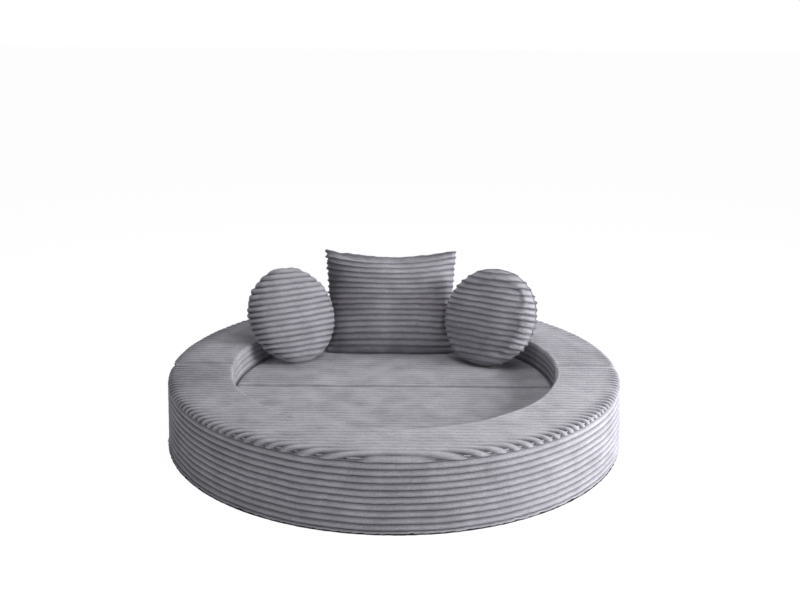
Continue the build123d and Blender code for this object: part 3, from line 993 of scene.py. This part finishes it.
def raise_ribs(cushion, seam_gap, seed, pitch, pinched=-1, painted_shade=0.0):
    """seam_gap gives a sheet's distance to its seam, pinched the side that is gathered
    most, and the last argument how much painted shade darkens the front's left and its foot."""
    x, z = read_mask(cushion, "sheet_x"), read_mask(cushion, "sheet_z")
    gap = seam_gap(x, z)
    points = read_points(cushion)
    back = (points[:, 1] > 0).astype(float)
    cloth = np.column_stack([x, z, back * 0.7])
    place = z / pitch + 0.5 + noises(cloth, seed, (0.05, 0.20), (0.03, 0.06))
    gathered = hump(gap, GATHER_REACH) * np.clip(np.abs(x) / (np.abs(z) + 0.02), 0, 1)
    gathered *= np.where(x * pinched > 0, PINCHED, SLACK)
    one_rib = np.column_stack([np.floor(place) * 0.37, np.sign(x) * 0.5, back])
    uneven = gathered * np.clip(0.6 + 0.6 * soft_noise(one_rib, 0.9, seed + 2), 0, 1.4)
    valley = 1 - rib_height(place, 0.70 + 0.25 * uneven)
    depths = RIB_DEPTH * (1 + 0.50 * uneven) * (1 + 0.12 * soft_noise(cloth, 0.07, seed + 3))
    depths *= by_steps(gap, ((0, 0.7), (0.003, 0.9), (0.010, 1)))
    fine = np.column_stack([x * 0.25, z * 0.25, place * 0.02])
    pucker = gathered * 0.0022 * soft_noise(fine, 0.010, seed + 4)
    swell = 0.0018 * soft_noise(cloth, 0.13, seed + 5)
    lift = swell * (1 - gathered) + pucker - depths * valley
    write_points(cushion, points + read_normals(cushion) * lift[:, None])
    # Painted shade: the valleys are darkened, more where the cloth is gathered, and so are the front's left
    # part, which turns away from the lamps, and its foot on the mat. The noise is a random mottle of the
    # pile.
    dark = valley * (0.85 + 0.5 * uneven) + 0.07 * soft_noise(cloth * (0.4, 1, 1), 0.09, seed + 6)
    left = np.clip(-x / x.max() - 0.15, 0, 1) ** 0.7
    foot = np.clip(-z / z.max() - 0.55, 0, 1)
    painted_shade_and_mottle = painted_shade * (left + 1.6 * foot) * (1 - back)
    write_mask(cushion, "valley", np.clip(dark + painted_shade_and_mottle, 0, 1))


# %% [markdown]
# ## The seam's edge
# Outside the stitches a few millimetres of both sheets are left, and they ruffle. The
# edge is a strip drawn out from the seam, waved, and given a thickness with Solidify.

# %% Make a seam's edge
SEAM_ROWS = 3
SEAM_OVERLAP = 0.002


def seam_line(cushion):
    """The seam's points in their order round the cushion, and the way out at each."""
    x, z = read_mask(cushion, "sheet_x"), read_mask(cushion, "sheet_z")
    on_seam = np.flatnonzero(read_mask(cushion, "inside") < 0.0005)
    order = on_seam[np.argsort(np.arctan2(z[on_seam], x[on_seam]))]
    line = read_points(cushion)[order]
    ahead = np.roll(line, -2, 0) - np.roll(line, 2, 0)
    out = np.column_stack([ahead[:, 2], np.zeros(len(line)), -ahead[:, 0]])
    out /= np.maximum(np.linalg.norm(out, axis=1), 1e-9)[:, None]
    return line, out * np.sign((out * line).sum(1))[:, None]


def draw_out(strip, count):
    """Extrudes the last row of a strip once more."""
    with editing("DESELECT"):
        bpy.ops.mesh.select_mode(type="EDGE")
    first = len(strip.data.vertices) - count
    for edge in strip.data.edges:
        edge.select = min(edge.vertices) >= first
    bpy.ops.object.mode_set(mode="EDIT")
    bpy.ops.mesh.extrude_edges_move()
    bpy.ops.mesh.select_mode(type="VERT")
    bpy.ops.object.mode_set(mode="OBJECT")


def seam_edge(cushion, name, seed, reach=0.0045):
    line, out = seam_line(cushion)
    count = len(line)
    deselect()
    bpy.ops.mesh.primitive_circle_add(vertices=count, radius=1, fill_type="NOTHING")
    strip = new_piece(name)
    for _ in range(SEAM_ROWS):
        draw_out(strip, count)
    number = np.arange(len(strip.data.vertices))
    share = number // count / SEAM_ROWS
    row, way = line[number % count], out[number % count]
    wave = noises(row, seed, (0.0016, 0.030), (0.0008, 0.012))
    length = (reach + 0.0012 * soft_noise(row, 0.05, seed + 2)) * share
    points = row + way * (length - SEAM_OVERLAP)[:, None]
    points[:, 1] += wave * share
    write_points(strip, points)
    thicken = strip.modifiers.new("thickness", "SOLIDIFY")
    thicken.thickness = 0.0022
    thicken.offset = 0
    focus(strip)
    bpy.ops.object.modifier_apply(modifier=thicken.name)
    write_mask(strip, "valley", np.full(len(strip.data.vertices), 0.15))
    finish(strip, 70)
    return strip


# %% [markdown]
# ## Standing the cushions up
# A cushion is made upright round the origin and then taken to its place: turned, leaned
# back, and set on a level. Where it would sink into what it stands on, it gives way
# softly over the last millimetres, as stuffing does.

# %% Stand a cushion in its place
MAT_LEVEL = 0.1856
RING_LEVEL = 0.2815
SOFT_GIVE = 0.007
LEAN = 17


def standing(turn, lean):
    """The axes of a leaning cushion: x across it, y to its back and z up it."""
    turn, lean = math.radians(turn), math.radians(lean)
    across = Vector((math.cos(turn), math.sin(turn), 0))
    up = Matrix.Rotation(turn, 3, "Z") @ Vector((0, math.sin(lean), math.cos(lean)))
    return np.array([across, up.cross(across), up])


def stand(piece, axes, middle, floor):
    points = read_points(piece) @ axes + middle
    above = points[:, 2] - floor
    low = above < SOFT_GIVE
    points[low, 2] = floor + SOFT_GIVE * np.exp(np.clip((above[low] - SOFT_GIVE) / SOFT_GIVE, -6, 0))
    write_points(piece, points)
    finish(piece, 75)


# %% Dress a filled cushion
cushions = {}


def dress(name, body, ribs, seam, axes, middle, floor):
    """Gives a filled cushion its ribs and its seam's edge, and stands it in its place."""
    refine(body)
    raise_ribs(body, **ribs)
    edge = seam_edge(body, f"{name}_seam", **seam)
    for piece in (body, edge):
        stand(piece, axes, middle, floor)
    cushions[name] = (body, edge)
    points = read_points(body)
    print(name, len(body.data.polygons), "faces", np.round(points.min(0), 3), np.round(points.max(0), 3))


# %% [markdown]
# ## The round cushions
# Two discs of plush, about 410 mm across and 174 mm thick, each a little out of round.
# They face each other a little and lean back on the wall's top edge, and their feet have
# slid forward on the mat. Grid lines bent into a circle leave no pole.

# %% Make the round cushions
ROUND_RADIUS = 0.203
ROUND_FLAT_RADIUS = 0.225
ROUND_THICK = 0.174
ROUND_TURN = 31
ROUND_PITCH = 0.0271
ROUND_SLIP, ROUND_HALF_HEIGHT = 0.020, 0.206
ROUND_CUSHIONS = (  # the hand, the foot's place, the width and height, and how lopsided
    ("left", -1, (-0.4124, 0.2757, 0.1886), (0.400, 0.408), -0.07),
    ("right", 1, (0.3764, 0.2635, 0.1886), (0.420, 0.414), 0.04),
)


def on_disc(u, v):
    return u * np.sqrt(1 - v**2 / 2), v * np.sqrt(1 - u**2 / 2)


def disc_outline(lopsided):
    """A disc that is a little longer towards one of its lower corners."""
    def outline(u, v):
        across, up = on_disc(u, v)
        radius = ROUND_RADIUS * (1 + lopsided * across * up)
        return ROUND_FLAT_RADIUS * across, ROUND_FLAT_RADIUS * up, radius * across, radius * up

    return outline


def disc_swollen(u, v):
    out = np.clip(np.hypot(*on_disc(u, v)), 0, 1)
    return 0.086 * (1 - out**2.1) ** 0.56


def disc_gap(x, z):
    return ROUND_FLAT_RADIUS - np.hypot(x, z)


for side_name, hand, foot, (width, height), lopsided in ROUND_CUSHIONS:
    name = f"{side_name}_round_cushion"
    seed = 700 + 40 * hand
    body = sewn_sheets(f"{name}_cover", disc_outline(lopsided), disc_swollen, 48, 48)
    fill_cushion(body, (width, ROUND_THICK, height))
    push_foot(body, ROUND_SLIP, ROUND_HALF_HEIGHT)
    axes = standing(-hand * ROUND_TURN, LEAN)
    ribs = dict(seam_gap=disc_gap, seed=seed, pitch=ROUND_PITCH, pinched=hand)
    dress(name, body, ribs, dict(seed=seed + 9), axes, np.array(foot) + axes[2] * ROUND_RADIUS, MAT_LEVEL)

# %% [markdown]
# ## The square pillow and the prop pillow
# Both are oblong sheets. Filled, their sides draw in and the corners stay out as ears.
# The square one stands on the mat, where its lower edge is pressed straight. The other
# lies on the ring behind it and keeps it up.

# %% The form of a pillow
def pillow_form(flat, corners, waist, height, sag, thickness):
    """Sheets whose corners stay out as ears while the sides and the top edge draw in."""
    def outline(u, v):
        half_width = waist / 2 + (corners - waist) / 2 * np.abs(v) ** 2.6
        half_height = height / 2 - sag * (1 - np.abs(u) ** 2.4)
        blunt = 1 - 0.012 * (np.abs(u) * np.abs(v)) ** 14
        return u * flat[0] / 2, v * flat[1] / 2, u * half_width * blunt, v * half_height * blunt

    def swollen(u, v):
        return thickness / 2 * ((1 - np.abs(u) ** 2.8) * (1 - np.abs(v) ** 3.2)) ** 0.5

    def gap(x, z):
        return np.minimum(flat[0] / 2 - np.abs(x), flat[1] / 2 - np.abs(z))

    return outline, swollen, gap


def level_foot(pillow, height, sag):
    """Presses the lower edge straight, as the pillow's own weight does."""
    points = read_points(pillow)
    u = np.clip(np.abs(points[:, 0]) / np.abs(points[:, 0]).max(), 0, 1)
    low, high = (np.clip(way * points[:, 2] / (height / 2), 0, 1) ** 2 for way in (-1, 1))
    points[:, 2] -= (low * (sag + 0.014) + high * 0.006) * (1 - u**2.4)
    write_points(pillow, points)


def fill_pillow(name, form):
    outline, swollen, gap = pillow_form(**form)
    body = sewn_sheets(f"{name}_cover", outline, swollen, 56, round(form["flat"][1] / 0.01))
    fill_cushion(body, (form["corners"], form["thickness"] + 0.004, form["height"]))
    return body, gap


# %% Make the square pillow
PILLOW_PITCH = 0.0264
SQUARE = dict(flat=(0.60, 0.450), corners=0.570, waist=0.525, height=0.440, sag=0.035, thickness=0.15)
SQUARE_ACROSS, SQUARE_SLIP = -0.020, 0.027

body, gap = fill_pillow("square_pillow", SQUARE)
level_foot(body, SQUARE["height"], SQUARE["sag"])
push_foot(body, SQUARE_SLIP, SQUARE["height"] / 2)
front_low, back_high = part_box("square_pillow_front_cover")[0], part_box("square_pillow_back_cover")[1]
middle = np.array([SQUARE_ACROSS, (front_low.y + back_high.y) / 2, (front_low.z + back_high.z) / 2])
ribs = dict(seam_gap=gap, seed=801, pitch=PILLOW_PITCH, painted_shade=0.34)
dress("square_pillow", body, ribs, dict(seed=810, reach=0.003), standing(0, LEAN), middle, MAT_LEVEL)

# %% Make the prop pillow
PROP = dict(flat=(0.60, 0.350), corners=0.552, waist=0.520, height=0.328, sag=0.018, thickness=0.124)
PROP_MIDDLE = np.array([-0.034, 0.725, 0.3455])
LYING = np.array([(1, 0, 0), (0, 0, -1), (0, 1, 0)], float)

body, gap = fill_pillow("prop_pillow", PROP)
ribs = dict(seam_gap=gap, seed=841, pitch=PILLOW_PITCH, painted_shade=0.6)
dress("prop_pillow", body, ribs, dict(seed=850, reach=0.003), LYING, PROP_MIDDLE, RING_LEVEL)

# %% [markdown]
# ## Plush
# The plush is a short, dense pile. Light that grazes it is thrown back brighter, which is
# what sheen does. Between the ribs, shade is painted into the colour. The piece's own
# "valley" mask says how deep in a valley a point is, and it carries the other painted shade
# too. One node group turns it, and some noise for the pile, into a colour and a height.
# Each finish then uses the group.

# %% Helpers for nodes
def new_group(name, inputs, outputs):
    group = bpy.data.node_groups.new(name, "ShaderNodeTree")
    for label, kind, value in inputs:
        socket = group.interface.new_socket(label, in_out="INPUT", socket_type=kind)
        if value is not None:
            socket.default_value = value
    for label, kind in outputs:
        group.interface.new_socket(label, in_out="OUTPUT", socket_type=kind)
    return group, group.nodes.new("NodeGroupInput").outputs, group.nodes.new("NodeGroupOutput").inputs


def add_node(tree, kind, links=(), inputs=None, **settings):
    """A node with its settings, values for its inputs, and links as (input, other's output)."""
    node = tree.nodes.new(kind)
    for key, value in settings.items():
        setattr(node, key, value)
    for label, value in (inputs or {}).items():
        node.inputs[label].default_value = value
    for target, output in links:
        tree.links.new(output, node.inputs[target])
    return node


def add_math(tree, operation, first, second):
    """Works out two values, each a number or another node's output."""
    node = tree.nodes.new("ShaderNodeMath")
    node.operation = operation
    for socket, value in zip(node.inputs, (first, second)):
        if isinstance(value, float):
            socket.default_value = value
        else:
            tree.links.new(value, socket)
    return node.outputs[0]


def add_range(tree, value, to, taken=(0.0, 1.0)):
    """Brings a value from the range that is taken to another."""
    labels = ("From Min", "From Max", "To Min", "To Max")
    node = add_node(tree, "ShaderNodeMapRange", [("Value", value)], dict(zip(labels, (*taken, *to))))
    return node.outputs[0]


def add_noise(tree, place, size, roughness=0.5):
    """size is a number, or another node's output."""
    node = add_node(tree, "ShaderNodeTexNoise", [("Vector", place)], {"Detail": 3.0, "Roughness": roughness})
    if isinstance(size, float):
        node.inputs["Scale"].default_value = size
    else:
        tree.links.new(size, node.inputs["Scale"])
    return node.outputs[0]


print("node helpers ready")

# %% The node group for plush
FLOAT, COLOUR, VECTOR = "NodeSocketFloat", "NodeSocketColor", "NodeSocketVector"
plush, takes, gives = new_group(
    "pile_cloth",
    [
        ("Place", VECTOR, None), ("Valley", FLOAT, 0.0), ("Valley Power", FLOAT, 1.0),
        ("Crest Colour", COLOUR, (0.4, 0.4, 0.42, 1)), ("Valley Colour", COLOUR, (0.1, 0.1, 0.11, 1)),
        ("Pile Size", FLOAT, 420.0), ("Pile Contrast", FLOAT, 0.2),
    ],
    [("Colour", COLOUR), ("Height", FLOAT), ("Roughness", FLOAT)],
)
# The valley mask mixes the crest colour towards the valley colour: painted shade.
deep = add_math(plush, "POWER", takes["Valley"], takes["Valley Power"])
FACTOR, COLOUR_A, COLOUR_B, MIXED = 0, 6, 7, 2  # a Mix node's sockets when it mixes colours
plain = add_node(
    plush, "ShaderNodeMix",
    [(FACTOR, deep), (COLOUR_A, takes["Crest Colour"]), (COLOUR_B, takes["Valley Colour"])], data_type="RGBA",
).outputs[MIXED]
pile = add_noise(plush, takes["Place"], takes["Pile Size"], roughness=0.65)
swirls, clumps = (add_noise(plush, takes["Place"], size) for size in (14.0, 210.0))
mottle = add_range(plush, add_math(plush, "ADD", swirls, clumps), (0.80, 1.20), taken=(0.7, 1.3))
speckle = add_range(plush, pile, (0.0, 1.0), taken=(0.3, 0.7))
grain = add_math(plush, "MULTIPLY", speckle, takes["Pile Contrast"])
half_grain = add_math(plush, "MULTIPLY", 0.5, takes["Pile Contrast"])
tone = add_math(plush, "ADD", mottle, add_math(plush, "SUBTRACT", grain, half_grain))
tinted = add_node(plush, "ShaderNodeVectorMath", [(0, plain), ("Scale", tone)], operation="SCALE")
plush.links.new(tinted.outputs[0], gives["Colour"])
plush.links.new(add_math(plush, "ADD", pile, clumps), gives["Height"])
plush.links.new(add_range(plush, pile, (0.82, 1.0)), gives["Roughness"])
print("plush group:", len(plush.nodes), "nodes")

# %% A finish made of pile
def pile_finish(name, crest, valley, power=0.9, sheen=0.35, bump=0.6, contrast=0.45, size=420.0):
    material = bpy.data.materials.new(name)
    material.use_nodes = True
    tree = material.node_tree
    shader = tree.nodes["Principled BSDF"].inputs
    where = add_node(tree, "ShaderNodeTexCoord")
    depth = add_node(tree, "ShaderNodeAttribute", attribute_name="valley")
    cloth = add_node(
        tree, "ShaderNodeGroup", node_tree=plush,
        links=[("Place", where.outputs["Object"]), ("Valley", depth.outputs["Fac"])],
        inputs={
            "Crest Colour": (*crest, 1), "Valley Colour": (*valley, 1), "Valley Power": power,
            "Pile Contrast": contrast, "Pile Size": size,
        },
    ).outputs
    relief = add_node(
        tree, "ShaderNodeBump", [("Height", cloth["Height"])], {"Strength": bump, "Distance": 0.0022},
    )
    tree.links.new(cloth["Colour"], shader["Base Color"])
    tree.links.new(cloth["Roughness"], shader["Roughness"])
    tree.links.new(relief.outputs["Normal"], shader["Normal"])
    shader["Sheen Weight"].default_value = sheen
    shader["Sheen Roughness"].default_value = 0.45
    shader["Sheen Tint"].default_value = (0.93, 0.92, 1.0, 1)
    shader["Specular IOR Level"].default_value = 0.15
    return material


def wear(pieces, material):
    for piece in pieces:
        piece.data.materials.clear()
        piece.data.materials.append(material)
    print(material.name, "on", len(pieces), "pieces")


# %% Put the plush on
# The three copies differ in painted shade: the walls' valleys are lighter, the tops' darker, and the
# cushions' copy is darker all over.
PLUSH_CREST = (0.385, 0.378, 0.415)
wall_plush = pile_finish("wall_plush", PLUSH_CREST, (0.150, 0.144, 0.166), power=0.8)
top_plush = pile_finish("top_plush", PLUSH_CREST, (0.075, 0.071, 0.086))
cushion_plush = pile_finish("cushion_plush", (0.355, 0.347, 0.383), (0.088, 0.083, 0.100), power=0.85)
walls = [piece for made in (outer_walls, inner_walls, rims, straights, end_panels) for piece in made.values()]
wear(walls, wall_plush)
wear([*tops.values(), *mat_tops.values()], top_plush)
wear([piece for pair in cushions.values() for piece in pair], cushion_plush)

# %% [markdown]
# ## The other finishes
# Foam, base cloth, zip tape and hook-and-loop tape have a fine pile or grain too, so the
# same group does for them with other values. The sliders are cast metal, whose shine is
# dulled unevenly by handling.

# %% Foam, base cloth, tapes and metal
foam_finish = pile_finish("foam", (0.72, 0.68, 0.52), (0.6, 0.55, 0.4), sheen=0.0, bump=0.3, size=900.0)
base_finish = pile_finish(
    "non_slip_cloth", (0.02, 0.02, 0.022), (0.01, 0.01, 0.01), sheen=0.0, contrast=0.01, size=800.0,
)
tape_finish = pile_finish(
    "zip_tape", (0.16, 0.16, 0.175), (0.05, 0.05, 0.055), sheen=0.1, bump=0.3, contrast=0.05, size=1600.0,
)
patch_finish = pile_finish(
    "hook_and_loop", (0.045, 0.045, 0.048), (0.012, 0.012, 0.013), sheen=0.25, bump=0.8, contrast=0.03,
    size=1400.0,
)
metal = bpy.data.materials.new("slider_metal")
metal.use_nodes = True
shader = metal.node_tree.nodes["Principled BSDF"].inputs
where = add_node(metal.node_tree, "ShaderNodeTexCoord")
scuffs = add_noise(metal.node_tree, where.outputs["Object"], 900.0)
metal.node_tree.links.new(add_range(metal.node_tree, scuffs, (0.28, 0.48)), shader["Roughness"])
shader["Base Color"].default_value = (0.55, 0.55, 0.57, 1)
shader["Metallic"].default_value = 1.0
wear(foams.values(), foam_finish)
wear(bases.values(), base_finish)
wear(zips.values(), tape_finish)
wear(patches.values(), patch_finish)
wear(sliders.values(), metal)

# %% [markdown]
# ## Riding on the bodies
# Each piece moves with the CAD body that it belongs to, and stands for the nodes that it
# was made from.

# %% Tie the pieces to the frame
riding = 0
for half in SIDES:
    ring, mat = f"{half}_ring", f"{half}_mat"
    for piece, body, node in (
        (tops[half], ring, f"{ring}_top_panel"),
        (outer_walls[half], ring, f"{ring}_outer_wall"),
        (inner_walls[half], ring, f"{ring}_inner_wall"),
        (end_panels[half], ring, f"{ring}_end_panels"),
        (foams[half, "ring"], ring, f"{ring}_foam"),
        (bases[half, "ring"], ring, f"{ring}_base"),
        (mat_tops[half], mat, f"{mat}_top_panel"),
        (rims[half], mat, f"{mat}_rim"),
        (straights[half], mat, f"{mat}_straight_wall"),
        (foams[half, "mat"], mat, f"{mat}_foam"),
        (bases[half, "mat"], mat, f"{mat}_base"),
        (zips[half, "ring"], ring, f"{ring}_zip"),
        (zips[half, "mat"], mat, f"{mat}_zip"),
        (patches[half], ring, f"{ring}_join_patches"),
        (sliders[half, "ring"], f"{ring}_slider", f"{ring}_zip_slider"),
        (sliders[half, "mat"], f"{mat}_slider", f"{mat}_zip_slider"),
    ):
        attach(piece, body)
        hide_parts(node)
        riding += 1
for name, (body, edge) in cushions.items():
    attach(body, name)
    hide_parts(f"{name}_front_cover", f"{name}_back_cover", f"{name}_insert")
    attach(edge, name)
    riding += 2
print(riding, "pieces ride on bodies")

# %% [markdown]
# ## Floor and backdrop
# The photograph has a plain white ground. Its white comes from what the camera sees of
# the floor and the world, not from more light on the sofa: a material can tell a ray of
# the camera from other rays, and metal and glass get the white ground to mirror too. The
# floor stays a little less than all white glow, so that it keeps the sofa's shadow.

# %% Floor and world
SHADOWLESS = 0.90
WHITE, PAPER = (1, 1, 1, 1), (0.86, 0.86, 0.87, 1)
ROOM_LIGHT = 0.09


def plainly_seen(tree):
    """1 for the rays that show the ground itself: the camera's, and those in metal and glass."""
    rays = add_node(tree, "ShaderNodeLightPath").outputs
    seen = add_math(tree, "MAXIMUM", rays["Is Camera Ray"], rays["Is Glossy Ray"])
    return add_math(tree, "MAXIMUM", seen, rays["Is Transmission Ray"])


def show_between(tree, share, first, second, kind):
    mixed = add_node(tree, "ShaderNodeMixShader", [(0, share), (1, first.outputs[0]), (2, second.outputs[0])])
    add_node(tree, kind, [("Surface", mixed.outputs[0])])


deselect()
bpy.ops.mesh.primitive_plane_add(size=40, location=(0, 0, -0.0005))
floor = bpy.context.object
floor.name = "studio_floor"
paper = bpy.data.materials.new("floor_paper")
paper.use_nodes = True
tree = paper.node_tree
tree.nodes.clear()
lit = add_node(tree, "ShaderNodeBsdfDiffuse", inputs={"Color": PAPER})
glow = add_node(tree, "ShaderNodeEmission", inputs={"Color": WHITE, "Strength": 1.08})
share = add_math(tree, "MULTIPLY", plainly_seen(tree), SHADOWLESS)
show_between(tree, share, lit, glow, "ShaderNodeOutputMaterial")
floor.data.materials.append(paper)

world = scene.world = bpy.data.worlds.new("studio")
world.use_nodes = True
tree = world.node_tree
tree.nodes.clear()
room = add_node(tree, "ShaderNodeBackground", inputs={"Color": WHITE, "Strength": ROOM_LIGHT})
backdrop = add_node(tree, "ShaderNodeBackground", inputs={"Color": WHITE, "Strength": 1.0})
show_between(tree, plainly_seen(tree), room, backdrop, "ShaderNodeOutputWorld")
print("floor", floor.name, "and world", world.name)

# %% [markdown]
# ## Lamps
# The light in the photograph is soft and comes from the right. Two soft lamps low on the
# right do most of the work, three weaker ones hang above, and two small ones fill in the
# front and the left of the wall.

# %% Lamps
LAMPS = (  # name, place, what it points at, size and watts
    ("side_low", (3.2, -0.2, 1.0), (0, 0, 0.2), (1.6, 1.2), 104),
    ("side_front", (3.1, -1.1, 1.1), (0, 0, 0.2), (1.6, 1.2), 56),
    ("above", (0.6, 0, 3.6), (0, 0, 0.2), (2.0, 2.0), 14),
    ("above_front", (0.5, -1.0, 2.6), (0, -0.4, 0.2), (1.6, 1.6), 21),
    ("above_rear", (-1.2, 1.6, 3.0), (-0.3, 0.4, 0.2), (1.6, 1.6), 20),
    ("front_low", (0.2, -2.5, 0.4), (0, -0.9, 0.1), (2.4, 0.5), 9),
    ("left_low", (-2.3, -1.5, 0.45), (-0.5, -0.6, 0.1), (1.6, 0.5), 5),
)
for name, place, target, size, watts in LAMPS:
    lamp = bpy.data.lights.new(name, "AREA")
    lamp.shape = "RECTANGLE"
    lamp.size, lamp.size_y = size
    lamp.energy = watts
    holder = bpy.data.objects.new(name, lamp)
    scene.collection.objects.link(holder)
    holder.location = place
    way = Vector(target) - Vector(place)
    holder.rotation_euler = way.to_track_quat("-Z", "Y").to_euler()
    holder.visible_camera = False
print(len(LAMPS), "lamps,", sum(lamp[-1] for lamp in LAMPS), "watts")

# %% [markdown]
# ## Camera
# Its place, tilt and lens are fitted to the ring's outlines in the photograph.

# %% Camera
CAMERA_PLACE = (0.021, -4.338, 1.859)
CAMERA_TILT, CAMERA_ROLL = 73.23, 0.405
CAMERA_LENS = 51.27
lens_camera = bpy.data.cameras.new("photo_camera")
lens_camera.sensor_width = 36
lens_camera.lens = CAMERA_LENS
camera = bpy.data.objects.new("photo_camera", lens_camera)
scene.collection.objects.link(camera)
tilt = Matrix.Rotation(math.radians(CAMERA_TILT), 4, "X")
roll = Matrix.Rotation(math.radians(CAMERA_ROLL), 4, "Z")
camera.matrix_world = Matrix.Translation(CAMERA_PLACE) @ tilt @ roll
scene.camera = camera
scene.view_settings.view_transform = "Standard"
print("camera at", [round(value, 3) for value in camera.matrix_world.translation])
